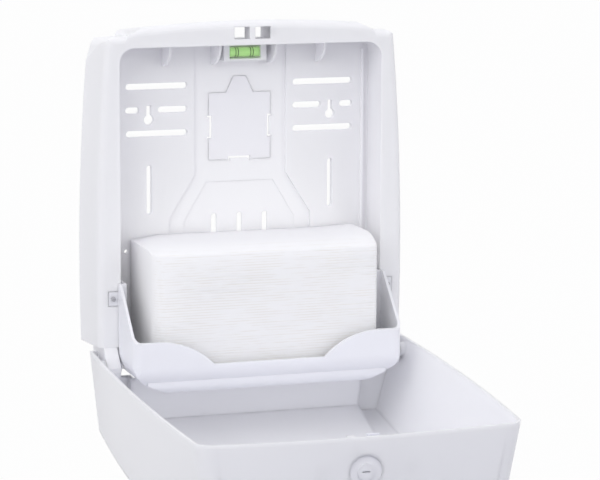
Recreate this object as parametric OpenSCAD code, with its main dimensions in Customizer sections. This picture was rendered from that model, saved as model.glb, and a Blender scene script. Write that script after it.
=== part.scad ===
// Wall dispenser for folded paper towels, shown with its front cover swung open.
// X runs to the right, -Y points out of the wall and +Z is up.
// The origin lies on the wall plane, at the centre of the four wall screw slots.

/* [Towels] */
// Width of the folded towel pack
pack_w = 210; // [200:1:220]
// Depth of the folded towel pack
pack_d = 83; // [78:1:88]
// Height of the folded towel pack
pack_h = 115.5; // [60:0.5:140]

/* [Tray] */
// Room between the towels and each cheek of the tray
side_room = 13.9; // [12:0.1:16]
// Room between the towels and the front of the tray
front_room = 5.9; // [5:0.1:8]
// Wall thickness of the tray
tray_t = 2.6; // [2.2:0.1:3]
// Drop of the tray floor below the side columns
tray_drop = 28.5; // [27:0.5:30]
// Height of the tray lip at its two ends
lip_h = 42; // [39:1:45]
// Drop of the tray lip in the middle
lip_dip = 22; // [18:1:24]

/* [Housing] */
// Width of each side column
column_w = 27.5; // [26:0.5:30]
// Depth of the housing from the wall to the flange face
housing_d = 44; // [40:1:48]
// Height of the arched top edge above the wall slots
top_z = 78.6; // [74:0.2:84]
// Height of the top beam
beam_h = 18; // [17.4:0.2:19]
// Height of the lower ends of the side columns
skirt_z = -209.5; // [-218:0.5:-203]
// Wall thickness of the moulded shells
wall_t = 2.8; // [2.4:0.1:3.0]
// Thickness of the back panel at the wall slots
pad_t = 6; // [5:0.5:7]
// Thickness of the back panel in its set-back centre
panel_t = 3.2; // [3:0.1:3.6]
// Radius of the rounded front edge of the housing
edge_r = 7; // [5:1:8]

/* [Wall slots] */
// Distance between the centres of left and right wall slots
slot_dx = 158.4; // [150:0.4:164]
// Distance between the upper and lower rows of wall slots
slot_dz = 43; // [40:1:48]
// Length of each wall slot
slot_l = 58; // [50:1:60]
// Width of each wall slot
slot_w = 6; // [5:0.5:6.5]
// Distance between the two keyholes
key_dx = 173.2; // [166:0.4:180]

/* [Cover] */
// Angle that the open cover makes with its shut place
open_angle = 92; // [88:1:94]
// Distance of the hinge axis in front of the flange
hinge_step = 6; // [5:0.5:7]
// Drop of the hinge axis below the side columns
hinge_drop = 16.5; // [15.5:0.5:17]
// Radius of the hinge pins
pin_r = 3; // [2.5:0.1:3.2]
// Depth of the shut cover in front of the tray
cover_room = 41; // [38:1:46]
// Height of the cover top above the housing top
cover_rise = 7.6; // [7.4:0.1:8.6]
// Distance of the finger scoop from the recess wall
scoop_in = 11.5; // [10:0.5:16]

/* [Lock] */
// Radius of the turning lock plug
plug_r = 6; // [5:0.1:6.5]
// Turn of the lock plug between locked and free
plug_turn = 90; // [80:1:90]
// Throw radius of the pin under the lock cam
cam_throw = 3.6; // [3.5:0.05:3.7]

/* [Hidden] */
$fn = 64;
big = 400;
fit = 0.3;
weld = 0.2;
mirror_x = [0, 1];
tray_gap = 2;
tray_w = pack_w + 2 * side_room + 2 * tray_t;
recess_w = tray_w + 2 * tray_gap;
housing_w = recess_w + 2 * column_w;
hw = housing_w / 2;
rw = recess_w / 2;
pack_back = -pad_t - 1.5;
pack_front = pack_back - pack_d;
tray_reach = front_room + tray_t - pack_front;
tray_floor_z = skirt_z - tray_drop;
pack_low = tray_floor_z + tray_t + fit;
pack_nose_r = 14;
pack_r = 5;
beam_z = top_z - beam_h;
bow_r = 2300;
bow_z = -140;
arch_r = 1235;
side_draft = 5.5;
arch_rise = 4.1;
shoulder_z = top_z - 8.8;
shoulder_arch = 3000;
shoulder_rise = 4.5;
shoulder_r = 14;
shoulder_x = hw - 25.5;
flank_z = top_z - 21.6;
flank_lean = 17.3;
flank_l = 22;
raised_hw = hw - 36;
raised_lean = 3.5;
brow_in = 23;
recess_r = 14;
hinge_y = -housing_d - hinge_step;
hinge_z = skirt_z - hinge_drop;
leg_w = 12.4;
leg_out = hw - 11.4;
leg_in = leg_out - leg_w;
knuckle_r = 7.5;
leg_foot = 4;
leg_low = hinge_z - knuckle_r - 4.5;
leg_back = 3.5;
web_t = 3;
web_w = 26;
lug_r = 6.5;
lug_l = 6;
washer_t = 0.6;
pin_l = leg_w + lug_l - 0.5;
pin_head_r = pin_r + 2;
pin_head_t = 1.2;
win_low = beam_z + 5.4;
win_high = win_low + 11;
win_in = 2.5;
win_out = 17;
catch_x = 21;
catch_d = 14;
jamb_t = 1;
gusset_in = 26.5;
gusset_out = 73;
gusset_t = 2.4;
gusset_d = 32;
gusset_h = 21;
bay_hw = 44;
flare_hw = 68;
flare_top = -62;
flare_low = -100;
sink_t = 0.8;
sink_top_hw = 32;
sink_hw = 53;
sink_top = -68.5;
sink_mid = -104;
sink_low = -150;
rib_x = rw - 7.5;
rib_t = 2.6;
rib_out = 9;
boss_w = 12;
key_r = 4.6;
key_drop = 9;
key_left = 22.5;
key_right = 15.5;
long_bar = 28;
short_bar = 13;
upright_z = -73.3;
upright_l = 45;
thin_w = 5;
pilot_x = 108.5;
pilot_z = -129;
pilot_r = 2;
vent_dx = 24.4;
vent_z = -119;
vent_l = 42;
hatch_hw = 29.5;
hatch_top = 13.4;
hatch_low = -48.4;
hatch_t = 1.6;
hatch_gap = 0.12;
tongue_top = 15;
tongue_hw = 13;
tongue_tip = 6;
ledge = 3;
clip_low = -28.4;
clip_l = 20.8;
clip_w = 4.4;
clip_gap = 2.2;
clip_end = 1.6;
tray_r = 18;
tray_corner_r = 8;
tray_end_r = 16;
brim_end_r = 24;
tray_bulge = 4.8;
tray_hw = tray_w / 2;
brim_hw = tray_hw + tray_bulge;
brim_y = -housing_d - fit;
tray_back = 7;
lip_z = tray_floor_z + lip_h;
dip_out = tray_hw - 19.5;
dip_run = 50;
dip_r = (dip_run * dip_run + lip_dip * lip_dip) / (2 * lip_dip);
sill_hw = tray_hw - 29.5;
sill_out = sill_hw + 20;
sill_h = 6.5;
sill_r = 9;
cheek_z = tray_floor_z + 87;
cheek_step = 6;
tab_low = tray_floor_z + 66.7;
tab_high = tab_low + 13;
tab_out = rw + 11.5;
tab_t = 2.4;
screw_x = rw + 7.2;
screw_z = (tab_low + tab_high) / 2;
screw_r = 1.3;
screw_l = 11;
head_r = 2.2;
head_h = 1.6;
cross_l = 2.8;
cross_w = 0.7;
cross_d = 0.8;
vial_r = 4.5;
vial_l = 29;
vial_wall = 0.9;
vial_y = -15;
vial_z = beam_z - 9;
cradle_t = 2.2;
cradle_w = 5.5;
cradle_h = 15.6;
cradle_out = 6;
rim_lap = 4;
rim_y = -(housing_d - rim_lap);
cover_reach = tray_reach + cover_room;
cover_top_z = top_z + cover_rise;
cover_draft = 0.15;
top_draft = 0.06;
cover_corner_r = 16;
corner_in = 9;
corner_drop = 6.6;
front_r = 1490;
front_z = -20;
foot_drop = 0.205;
foot_z = tray_floor_z - 12;
foot_w = hw - leg_out - 1.5;
turn_y = hinge_y - 16;
turn_z = tray_floor_z - 3;
chin_y = -tray_reach - 10;
chin_z = turn_z - 11;
chin_slope = 0.3;
scoop_hw = rw - scoop_in;
outlet_hw = pack_w / 2 - 13;
outlet_front = turn_y;
outlet_l = 36;
lock_y = rim_y - 30;
seat_z = cover_top_z - 5.6;
sleeve_r = plug_r + 3.5;
seat_r = sleeve_r + 4.5;
seat_t = 3.8;
flange_t = 3.2;
nut_h = 5;
sleeve_low = seat_z - 24.4;
slide_low = sleeve_low - 9.3;
slide_t = 3;
slide_high = slide_low + slide_t;
slide_front = lock_y - 7;
slide_d = 22;
slide_left = 22;
throw = cam_throw * (cos(90 - plug_turn / 2) * 2);
pin_x = throw / 2;
pin_back = cam_throw * cos(plug_turn / 2);
cam_r = 7.5;
cam_t = 2.95;
cam_gap = 0.35;
cam_pin_r = 1.3;
cam_screw_r = 1.5;
pin_slot_w = 3.2;
hook_low = win_low + 4.5;
hook_high = hook_low + 4;
hook_x = 9.5;
hook_w = 4.5;
hook_t = 1.4;
hook_catch = 5.5;
hook_gap = 0.3;
arm_t = 3.2;
tongue_x = 6;
tongue_w = 7;
bracket_hw = 34;
bracket_low = slide_low - 2.7;
boss_x = 39;
boss_r = 4.5;
boss_y = lock_y + 3;
ear_z = seat_z - 10.4;
ear_t = 2.5;
guide_t = 2.4;

// Stretches a flat front view from one depth to another.
module deep(y_front, y_back) {
    translate([0, y_back, 0])
        rotate([90, 0, 0])
            linear_extrude(y_back - y_front)
                children();
}

// Stretches a flat side view, given as depth and height, across the width.
module wide(x_low, x_high) {
    translate([x_low, 0, 0])
        rotate([90, 0, 90])
            linear_extrude(x_high - x_low)
                children();
}

// Draws both the right part and its mirror image on the left.
module both() {
    for (m = mirror_x)
        mirror([m, 0, 0])
            children();
}

// Draws both the right part and its mirror image in a flat view.
module both_flat() {
    for (m = mirror_x)
        mirror([m, 0])
            children();
}

// Rounded bar in the front view, used for slots.
module bar(length, width) {
    square([length - width, width], center = true);
    for (s = [-1, 1])
        translate([s * (length - width) / 2, 0])
            circle(width / 2);
}

// Flat rectangle in the front view with two rounded upper corners.
module arch_sheet(half, low, high, corner) {
    translate([-half, low])
        square([2 * half, high - low - corner]);
    translate([-half + corner, low])
        square([2 * half - 2 * corner, high - low]);
    for (s = [-1, 1])
        translate([s * (half - corner), high - corner])
            circle(corner);
}

// Shallow disc whose rim gives one bowed and drafted outside face.
module bowed_disc(r_back, r_front, depth, edge) {
    steps = 5;
    rotate([90, 0, 0])
        rotate_extrude($fn = 360)
            polygon(concat(
                [[0, 0], [r_back, 0]],
                [for (i = [0 : steps]) [
                    r_front - edge + edge * cos(90 * i / steps),
                    depth - edge + edge * sin(90 * i / steps)]],
                [[0, depth]]));
}

// Front view of the housing up to its rounded shoulders, drawn smaller by an inset.
module shoulder_sheet(inset) {
    r = shoulder_r - inset;
    tip_x = shoulder_x + r * cos(flank_lean);
    tip_z = flank_z + r * sin(flank_lean);
    low_x = tip_x + flank_l * sin(flank_lean);
    low_z = tip_z - flank_l * cos(flank_lean);
    polygon([[-big / 2, skirt_z], [big / 2, skirt_z], [big / 2, low_z], [low_x, low_z], [tip_x, tip_z],
        [shoulder_x, flank_z], [shoulder_x, flank_z + r], [-shoulder_x, flank_z + r], [-shoulder_x, flank_z],
        [-tip_x, tip_z], [-low_x, low_z], [-big / 2, low_z]]);
    for (s = [-1, 1])
        translate([s * shoulder_x, flank_z])
            circle(r);
}

// Outside form of the housing, drawn smaller by an inset.
module housing_form(inset) {
    depth = housing_d - inset;
    edge = max(edge_r - inset, 1);
    foot = raised_hw + raised_lean - inset;
    head = raised_hw - inset;
    brow = raised_hw - brow_in - inset;
    intersection() {
        translate([hw - bow_r, 0, bow_z])
            bowed_disc(bow_r - inset, bow_r - side_draft - inset, depth, edge);
        translate([bow_r - hw, 0, bow_z])
            bowed_disc(bow_r - inset, bow_r - side_draft - inset, depth, edge);
        union() {
            intersection() {
                translate([0, 0, top_z - arch_r])
                    bowed_disc(arch_r - inset, arch_r + arch_rise - inset, depth, edge);
                deep(-housing_d, 0)
                    polygon([[-foot, skirt_z], [foot, skirt_z], [foot, top_z - 14], [head, top_z - 6.6],
                        [brow, top_z + 4], [-brow, top_z + 4], [-head, top_z - 6.6], [-foot, top_z - 14]]);
            }
            intersection() {
                translate([0, 0, shoulder_z - shoulder_arch])
                    bowed_disc(shoulder_arch - inset, shoulder_arch + shoulder_rise - inset, depth, edge);
                deep(-housing_d, 0)
                    shoulder_sheet(inset);
            }
        }
        translate([-big / 2, -housing_d, skirt_z + inset])
            cube([big, housing_d, big]);
    }
}

// Front view of the snap-in plate and of the seat that takes it.
module hatch_sheet(inset) {
    polygon([[-hatch_hw + inset, hatch_low + inset], [hatch_hw - inset, hatch_low + inset],
        [hatch_hw - inset, hatch_top - inset], [tongue_hw - inset, hatch_top - inset],
        [tongue_tip - inset, hatch_top + tongue_top - inset],
        [-tongue_tip + inset, hatch_top + tongue_top - inset],
        [-tongue_hw + inset, hatch_top - inset], [-hatch_hw + inset, hatch_top - inset]]);
}

// Front view of all holes that pass through the back panel to the wall.
module wall_holes() {
    for (s = [-1, 1]) {
        for (t = [-1, 1])
            translate([s * slot_dx / 2, t * slot_dz / 2])
                bar(slot_l, slot_w);
        translate([s * (key_dx / 2 + key_right), 0])
            bar(short_bar, slot_w);
        translate([s * (key_dx / 2 - key_left), 0])
            bar(long_bar, slot_w);
        translate([s * key_dx / 2, -key_drop])
            circle(key_r);
        translate([s * key_dx / 2, -2])
            square([key_r, 12], center = true);
        translate([s * key_dx / 2, upright_z])
            rotate(90)
                bar(upright_l, thin_w);
        translate([s * pilot_x, pilot_z])
            circle(pilot_r);
    }
    for (s = [-1 : 1])
        translate([s * vent_dx, vent_z])
            rotate(90)
                bar(vent_l, thin_w);
}

// Tunnel and stops behind the two openings in the top beam.
module catch_box() {
    both()
        translate([catch_x, -housing_d + wall_t - weld, beam_z + wall_t - weld])
            cube([gusset_t, housing_d - wall_t, top_z - beam_z - wall_t + arch_rise]);
    translate([-win_in, -housing_d + wall_t - weld, beam_z + wall_t - weld])
        cube([2 * win_in, catch_d, win_high - beam_z - wall_t]);
}

// Side view of one gusset, with its bulging front edge.
module gusset_side() {
    steps = 10;
    polygon(concat(
        [[-panel_t + weld, beam_z - gusset_h], [-panel_t + weld, beam_z + weld], [-gusset_d, beam_z + weld]],
        [for (i = [0 : steps]) [
            -panel_t - (gusset_d - panel_t) * cos(90 * i / steps),
            beam_z - gusset_h * sin(90 * i / steps)]]));
}

// Leg with the bored knuckle that carries the cover.
module hinge_leg() {
    difference() {
        union() {
            translate([leg_in, -housing_d, leg_low])
                cube([leg_w, housing_d - leg_back, skirt_z - leg_low + boss_w]);
            translate([leg_in - web_w, -leg_back - web_t, leg_low])
                cube([web_w + wall_t, web_t, skirt_z - leg_low + weld]);
            wide(leg_in, leg_out)
                polygon([[-housing_d + weld, skirt_z + weld], [-housing_d, skirt_z + weld],
                    [hinge_y - knuckle_r, hinge_z], [hinge_y - knuckle_r, hinge_z - leg_foot],
                    [hinge_y - leg_foot, leg_low], [-housing_d + weld, leg_low]]);
        }
        translate([leg_in + wall_t, -housing_d + boss_w, leg_low + wall_t])
            cube([leg_w - 2 * wall_t, housing_d, big]);
        translate([leg_in - 1, hinge_y, hinge_z])
            rotate([0, 90, 0])
                cylinder(r = pin_r + 0.02, h = leg_w + 2);
    }
}

// Moulded wall housing with flange frame, back panel, gussets, catch openings and hinge legs.
module back_housing() {
    color([0.90, 0.90, 0.93])
    difference() {
        union() {
            difference() {
                housing_form(0);
                deep(-housing_d - 1, -pad_t)
                    arch_sheet(rw, skirt_z - 1, beam_z, recess_r);
                difference() {
                    translate([0, 0.01, 0])
                        housing_form(wall_t);
                    deep(-housing_d - 1, 2)
                        arch_sheet(rw + wall_t, skirt_z - 1, beam_z + wall_t, recess_r + wall_t);
                }
                deep(-pad_t - 1, -panel_t)
                    polygon([[-bay_hw, beam_z - 1], [bay_hw, beam_z - 1], [bay_hw, flare_top],
                        [flare_hw, flare_low], [flare_hw, skirt_z - 1], [-flare_hw, skirt_z - 1],
                        [-flare_hw, flare_low], [-bay_hw, flare_top]]);
                deep(-panel_t - 1, -panel_t + sink_t)
                    polygon([[-sink_top_hw, sink_top], [sink_top_hw, sink_top], [sink_hw, sink_mid],
                        [sink_hw, sink_low], [-sink_hw, sink_low], [-sink_hw, sink_mid]]);
            }
            intersection() {
                catch_box();
                housing_form(1);
            }
            for (x = [-gusset_out, -gusset_in, gusset_in, gusset_out])
                wide(x - gusset_t / 2, x + gusset_t / 2)
                    gusset_side();
            both() {
                hinge_leg();
                translate([rib_x, -rib_out, sink_low])
                    cube([rib_t, rib_out - panel_t, beam_z - 10 - sink_low]);
                translate([rw + wall_t - weld, -housing_d + wall_t - weld, tab_low - 4])
                    cube([boss_w, boss_w, tab_high - tab_low + 8]);
            }
        }
        deep(-pad_t - 1, 1)
            wall_holes();
        for (s = [-1, 1])
            translate([s * (win_in + win_out) / 2, -housing_d, (win_low + win_high) / 2])
                cube([win_out - win_in, 4 * wall_t, win_high - win_low], center = true);
        translate([win_out - 1, -housing_d + jamb_t, hook_low - 1])
            cube([hook_catch, wall_t, hook_high - hook_low + 2]);
        deep(-panel_t - 1, -panel_t + hatch_t)
            difference() {
                hatch_sheet(0);
                both_flat()
                    translate([hatch_hw - ledge + clip_gap, clip_low])
                        square([clip_w, clip_l]);
                translate([-clip_l / 2, hatch_low - clip_gap])
                    square([clip_l, ledge]);
            }
        deep(-panel_t - 1, 1)
            translate([-hatch_hw + ledge, hatch_low + ledge])
                square([2 * hatch_hw - 2 * ledge, hatch_top - hatch_low - 2 * ledge]);
        deep(-panel_t - 1, 1)
            clip_slots();
        both() {
            translate([rw - 1, -housing_d - 1, tab_low - fit])
                cube([tab_out + fit - rw + 1, tab_t + fit + 1, tab_high - tab_low + 2 * fit]);
            translate([screw_x, -housing_d + screw_l + 1, screw_z])
                rotate([90, 0, 0])
                    cylinder(r = screw_r, h = 2 * screw_l, $fn = 32);
        }
    }
}

// Front view of the slots that free the snap fingers around the plate.
module clip_slots() {
    both_flat()
        difference() {
            translate([hatch_hw - ledge, clip_low])
                square([clip_w, clip_l]);
            translate([hatch_hw - ledge + clip_gap, clip_low + clip_end])
                square([clip_w, clip_l - 2 * clip_end]);
        }
    difference() {
        translate([-clip_l / 2, hatch_low + ledge - clip_w])
            square([clip_l, clip_w]);
        translate([-clip_l / 2 + clip_end, hatch_low + ledge - clip_w - clip_gap])
            square([clip_l - 2 * clip_end, clip_w]);
    }
}

// Blanking plate that snaps into the middle of the back panel.
module hatch_plate() {
    color([0.90, 0.90, 0.93])
    deep(-panel_t, -panel_t + hatch_t - 0.05)
        difference() {
            hatch_sheet(hatch_gap);
            both_flat()
                translate([hatch_hw - ledge, clip_low - fit])
                    square([ledge, clip_l + 2 * fit]);
            translate([-clip_l / 2 - fit, hatch_low])
                square([clip_l + 2 * fit, ledge]);
        }
}

// Cradle that holds the spirit level under the top beam.
module level_holder() {
    half = vial_l / 2 + weld + cradle_w;
    depth = cradle_out - vial_y - panel_t - 0.05;
    low = vial_z - cradle_h / 2;
    color([0.90, 0.90, 0.93])
    difference() {
        union() {
            both()
                translate([half - cradle_w, vial_y - cradle_out, low])
                    cube([cradle_w, depth, cradle_h]);
            translate([-half, vial_y - cradle_out, low])
                cube([2 * half, depth, cradle_t]);
            translate([-half, -panel_t - cradle_t - 0.05, low])
                cube([2 * half, cradle_t, cradle_h]);
        }
        translate([-half + cradle_w - 1.5, vial_y, vial_z])
            rotate([0, 90, 0])
                cylinder(r = vial_r - vial_wall - 0.05, h = 2 * half - 2 * cradle_w + 3);
    }
}

// Clear tube of the spirit level.
module level_vial() {
    color([0.85, 0.95, 0.85, 0.5])
    translate([-vial_l / 2, vial_y, vial_z])
        rotate([0, 90, 0])
            difference() {
                cylinder(r = vial_r, h = vial_l);
                translate([0, 0, -1])
                    cylinder(r = vial_r - vial_wall, h = vial_l + 2);
            }
}

// Green liquid inside the clear tube.
module level_fluid() {
    color([0.6, 0.85, 0.4])
    translate([-vial_l / 2 + 2.1, vial_y, vial_z])
        rotate([0, 90, 0])
            cylinder(r = vial_r - vial_wall - 0.05, h = vial_l - 4.2);
}

// End plugs that close the tube and locate it in the cradle.
module level_plugs() {
    color([0.2, 0.3, 0.2])
    both()
        translate([vial_l / 2 - 2, vial_y, vial_z])
            rotate([0, 90, 0])
                cylinder(r = vial_r - vial_wall - 0.05, h = 3.2);
}

// Side view of the tray body up to its sloping cheek edges.
module tray_side() {
    r = tray_r;
    front = -tray_reach;
    polygon([[-tray_back, tray_floor_z], [front + r, tray_floor_z], [front + r, tray_floor_z + r],
        [front, tray_floor_z + r], [front, lip_z], [front + 2, lip_z], [-housing_d - cheek_step, cheek_z],
        [-tray_back, cheek_z]]);
    translate([front + r, tray_floor_z + r])
        circle(r);
}

// Side view of the space inside the tray, open above and behind.
module tray_room() {
    r = tray_r - tray_t;
    front = -tray_reach + tray_t;
    low = tray_floor_z + tray_t;
    polygon([[1, low], [front + r, low], [front + r, low + r], [front, low + r], [front, 0], [1, 0]]);
    translate([front + r, low + r])
        circle(r);
}

// Rounds the ends of a tray part in the plan and front views, drawn smaller by an inset.
module tray_ends(outer, end_r, inset) {
    half = outer - inset;
    r = tray_corner_r - inset;
    e = end_r - inset;
    intersection() {
        translate([0, 0, tray_floor_z - 1])
            linear_extrude(big) {
                translate([-half, -tray_reach + inset + r])
                    square([2 * half, big]);
                translate([-half + r, -tray_reach + inset])
                    square([2 * half - 2 * r, big]);
                for (s = [-1, 1])
                    translate([s * (half - r), -tray_reach + inset + r])
                        circle(r);
            }
        deep(-tray_reach - 1, 2) {
            translate([-half, tray_floor_z + inset + e])
                square([2 * half, big]);
            translate([-half + e, tray_floor_z + inset])
                square([2 * half - 2 * e, big]);
            for (s = [-1, 1])
                translate([s * (half - e), tray_floor_z + inset + e])
                    circle(e);
        }
    }
}

// Part of the tray with rounded ends, from its front back to one depth, made from a side view.
module tray_part(outer, end_r, inset, y_back) {
    intersection() {
        wide(-outer + inset, outer - inset)
            children();
        tray_ends(outer, end_r, inset);
        translate([-big / 2, y_back - big, -big])
            cube([big, big, 2 * big]);
    }
}

// Round sill under the front of the tray floor, running out at both ends.
module tray_sill() {
    low = tray_floor_z - sill_h;
    intersection() {
        wide(-sill_out, sill_out)
            translate([-tray_reach + sill_r + 5, low + sill_r])
                circle(sill_r);
        deep(-tray_reach - 1, 0)
            polygon([[-sill_out, tray_floor_z + 2], [-sill_hw, low - 1], [sill_hw, low - 1],
                [sill_out, tray_floor_z + 2], [sill_out, lip_z], [-sill_out, lip_z]]);
    }
}

// Front view of the dip in the tray lip, which runs out in a round at both ends.
module lip_sheet() {
    difference() {
        translate([-dip_out, lip_z - lip_dip])
            square([2 * dip_out, lip_dip + 1]);
        both_flat()
            translate([dip_out, lip_z - dip_r])
                circle(dip_r, $fn = 180);
    }
}

// Open tray that carries the towels, with its screw tabs and the outlet in its floor.
module towel_tray() {
    color([0.90, 0.90, 0.93])
    difference() {
        union() {
            difference() {
                union() {
                    tray_part(tray_hw, tray_end_r, 0, 0)
                        tray_side();
                    tray_part(brim_hw, brim_end_r, 0, brim_y)
                        tray_side();
                    tray_sill();
                }
                tray_part(tray_hw, tray_end_r, tray_t, 2)
                    tray_room();
                tray_part(brim_hw, brim_end_r, tray_t, brim_y - tray_t)
                    tray_room();
            }
            both()
                translate([tray_hw - 1, -housing_d, tab_low])
                    cube([tab_out - tray_hw + 1, tab_t, tab_high - tab_low]);
        }
        deep(-tray_reach - 1, -tray_reach + 20)
            lip_sheet();
        translate([-outlet_hw, outlet_front, tray_floor_z - 1])
            cube([2 * outlet_hw, outlet_l, 6]);
        both()
            translate([screw_x, -housing_d + screw_l, screw_z])
                rotate([90, 0, 0])
                    cylinder(r = screw_r + fit, h = 2 * screw_l, $fn = 32);
    }
}

// Two screws that hold the tray tabs in the flange.
module tray_screws() {
    color([0.75, 0.76, 0.78])
    both()
        translate([screw_x, -housing_d - 0.02, screw_z])
            rotate([90, 0, 0])
                difference() {
                    union() {
                        cylinder(r = head_r, h = head_h, $fn = 32);
                        translate([0, 0, -screw_l])
                            cylinder(r = screw_r - 0.02, h = screw_l + 0.5, $fn = 32);
                    }
                    for (a = [0, 90])
                        rotate(a)
                            translate([-cross_l / 2, -cross_w / 2, head_h - cross_d])
                                cube([cross_l, cross_w, 2]);
                }
}

// Two headed pins on the hinge axis.
module hinge_pins() {
    color([0.75, 0.76, 0.78])
    both()
        translate([leg_in - pin_head_t - 0.1, hinge_y, hinge_z])
            rotate([0, 90, 0]) {
                cylinder(r = pin_head_r, h = pin_head_t);
                cylinder(r = pin_r, h = pin_l);
            }
}

// Two thin washers between the legs and the cover.
module hinge_washers() {
    color([0.3, 0.3, 0.32])
    both()
        translate([leg_out + 0.1, hinge_y, hinge_z])
            rotate([0, 90, 0])
                difference() {
                    cylinder(r = lug_r, h = washer_t);
                    translate([0, 0, -1])
                        cylinder(r = pin_r + 0.03, h = 3);
                }
}

// Moves a piece drawn in the shut place of the cover to its open place.
module on_cover() {
    translate([0, hinge_y, hinge_z])
        rotate([open_angle, 0, 0])
            translate([0, -hinge_y, -hinge_z])
                children();
}

// Keeps everything inside one rounded upper corner of the cover.
module corner_guard(inset) {
    r = cover_corner_r;
    translate([hw - corner_in - r, rim_y, cover_top_z - corner_drop - r])
        rotate([atan(top_draft), 0, -atan(cover_draft)]) {
            translate([0, big / 2, 0])
                rotate([90, 0, 0])
                    cylinder(r = r - inset, h = big);
            translate([-2 * big, -big / 2, -2 * big])
                cube([2 * big, big, 4 * big]);
            translate([-2 * big, -big / 2, -2 * big])
                cube([4 * big, big, 2 * big]);
        }
}

// Outside form of the shut cover, drawn smaller by an inset and open further back.
module cover_form(inset, back) {
    depth = cover_reach + rim_y + back;
    start = rim_y + back;
    intersection() {
        translate([hw - bow_r, start, bow_z])
            cylinder_out(bow_r - inset + cover_draft * back, cover_draft, depth);
        translate([bow_r - hw, start, bow_z])
            cylinder_out(bow_r - inset + cover_draft * back, cover_draft, depth);
        translate([0, start, cover_top_z - arch_r])
            cylinder_out(arch_r - inset + top_draft * back, top_draft, depth);
        translate([-big / 2, front_r - cover_reach, front_z])
            rotate([0, 90, 0])
                cylinder(r = front_r - inset, h = big, $fn = 360);
        wide(-big / 2, big / 2)
            polygon([[start, foot_z + inset], [rim_y, foot_z + inset],
                [-200, foot_z + inset - foot_drop * (200 + rim_y)], [-200, 200], [start, 200]]);
        corner_guard(inset);
        mirror([1, 0, 0])
            corner_guard(inset);
    }
}

// Large drafted disc that gives one bowed face of the cover.
module cylinder_out(r, draft, depth) {
    rotate([90, 0, 0])
        cylinder(r1 = r, r2 = r - draft * depth, h = depth, $fn = 360);
}

// Side view of the space in front of the finger scoop, moved outwards by a shift.
module scoop_side(shift) {
    m = (turn_z - chin_z) / (turn_y - chin_y);
    down = shift * sqrt(1 + m * m);
    out = shift * sqrt(1 + chin_slope * chin_slope);
    d = (down * chin_slope - out) / (1 + chin_slope * m);
    e = m * d - down;
    polygon([[turn_y, turn_z - down], [chin_y + d, chin_z + e],
        [chin_y + d - chin_slope * 120, chin_z + e + 120], [-300, chin_z + e + 120], [-300, -400],
        [turn_y, -400]]);
}

// Moulded front cover with its finger scoop, outlet, hinge lugs and lock seat.
module front_cover() {
    color([0.90, 0.90, 0.94])
    on_cover()
        difference() {
            union() {
                difference() {
                    cover_form(0, 0);
                    wide(-scoop_hw + wall_t, scoop_hw - wall_t)
                        scoop_side(wall_t);
                    difference() {
                        cover_form(wall_t, 1);
                        wide(-scoop_hw, scoop_hw)
                            scoop_side(0);
                    }
                    translate([-hw + foot_w, turn_y, foot_z - big])
                        cube([housing_w - 2 * foot_w, big, big + 10]);
                }
                both()
                    translate([leg_out + washer_t + weld, hinge_y, hinge_z])
                        rotate([0, 90, 0])
                            cylinder(r = lug_r, h = lug_l);
                intersection() {
                    cover_form(0.5, 0);
                    union() {
                        translate([0, lock_y, seat_z - seat_t])
                            cylinder(r = seat_r + 2, h = 20);
                        both()
                            translate([boss_x, boss_y, ear_z + ear_t + 0.05])
                                cylinder(r = boss_r, h = 20);
                        translate([-tongue_x - tongue_w, rim_y - 16, hook_low - 1])
                            cube([tongue_w, 10, 30]);
                    }
                }
                translate([-tongue_x - tongue_w, rim_y - 16, hook_low - 1])
                    cube([tongue_w, 13.4, 5]);
            }
            translate([0, lock_y, seat_z])
                cylinder(r = seat_r, h = 20);
            translate([0, lock_y, seat_z - 10])
                cylinder(r = sleeve_r + 0.05, h = 30);
            both() {
                translate([boss_x, boss_y, ear_z])
                    cylinder(r = screw_r, h = screw_l - 0.5, $fn = 32);
                translate([leg_out, hinge_y, hinge_z])
                    rotate([0, 90, 0])
                        cylinder(r = pin_r + 0.05, h = lug_l - 1.4);
            }
        }
}

// Bracket under the cover top that guides the latch slide.
module lock_bracket() {
    color([0.86, 0.86, 0.89])
    on_cover()
        difference() {
            union() {
                translate([-bracket_hw, slide_front - 7, bracket_low])
                    cube([2 * bracket_hw, slide_d + 10, ear_t]);
                for (y = [slide_front - fit - guide_t, slide_front + slide_d + fit])
                    translate([-20, y, bracket_low])
                        cube([40, guide_t, slide_high - bracket_low]);
                both() {
                    translate([bracket_hw - ear_t, slide_front - 1, bracket_low])
                        cube([ear_t, slide_d, ear_z + ear_t - bracket_low]);
                    translate([bracket_hw - ear_t, lock_y - 3, ear_z])
                        cube([boss_x - bracket_hw + ear_t + boss_r + 0.5, 12, ear_t]);
                }
            }
            both()
                translate([boss_x, boss_y, ear_z - 1])
                    cylinder(r = screw_r + fit, h = ear_t + 2, $fn = 32);
        }
}

// Two screws that hold the bracket to the bosses of the cover.
module bracket_screws() {
    color([0.75, 0.76, 0.78])
    on_cover()
        both()
            translate([boss_x, boss_y, ear_z - 0.02])
                difference() {
                    union() {
                        translate([0, 0, -head_h])
                            cylinder(r = head_r, h = head_h, $fn = 32);
                        translate([0, 0, -0.5])
                            cylinder(r = screw_r - 0.02, h = screw_l - 1, $fn = 32);
                    }
                    for (a = [0, 90])
                        rotate(a)
                            translate([-cross_l / 2, -cross_w / 2, -head_h + cross_d - 2])
                                cube([cross_l, cross_w, 2]);
                }
}

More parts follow.
